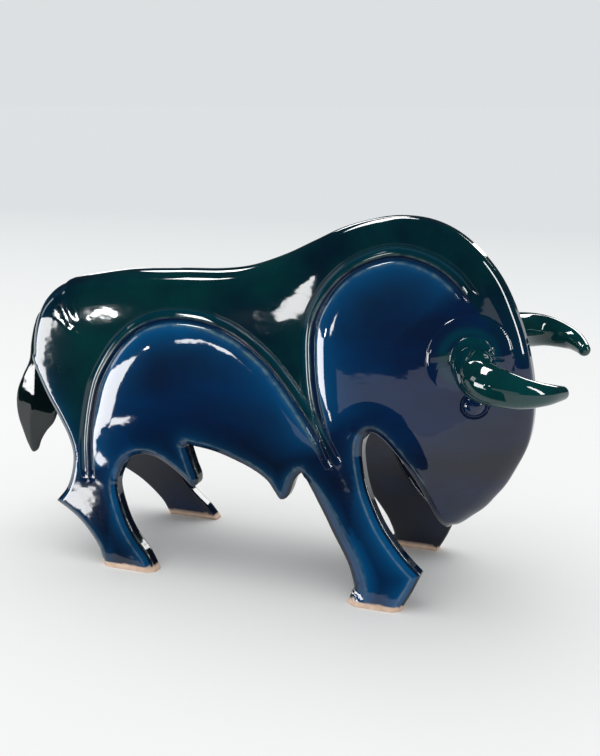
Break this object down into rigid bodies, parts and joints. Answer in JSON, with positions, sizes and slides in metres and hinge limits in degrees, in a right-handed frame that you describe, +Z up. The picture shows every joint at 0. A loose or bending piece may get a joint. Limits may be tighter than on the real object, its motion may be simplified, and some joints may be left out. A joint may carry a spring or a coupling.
{
  "type": "bull sculpture",
  "caption": "Stylised glazed ceramic bull with leaning slab flanks, head lowered, forward-curved horns, grooved haunch and shoulder, and a leaf-shaped tail.",
  "frame": {"origin": "on the ground under the middle of the bounding box", "axes": "+X towards the head, +Y to the animal's left side, +Z up"},
  "size_m": [0.4859, 0.2184, 0.288],
  "materials": {
    "glaze": "glossy deep blue and teal glaze over fired clay"
  },
  "bodies": {
    "root": {"bull": "glaze"}
  },
  "joints": []
}
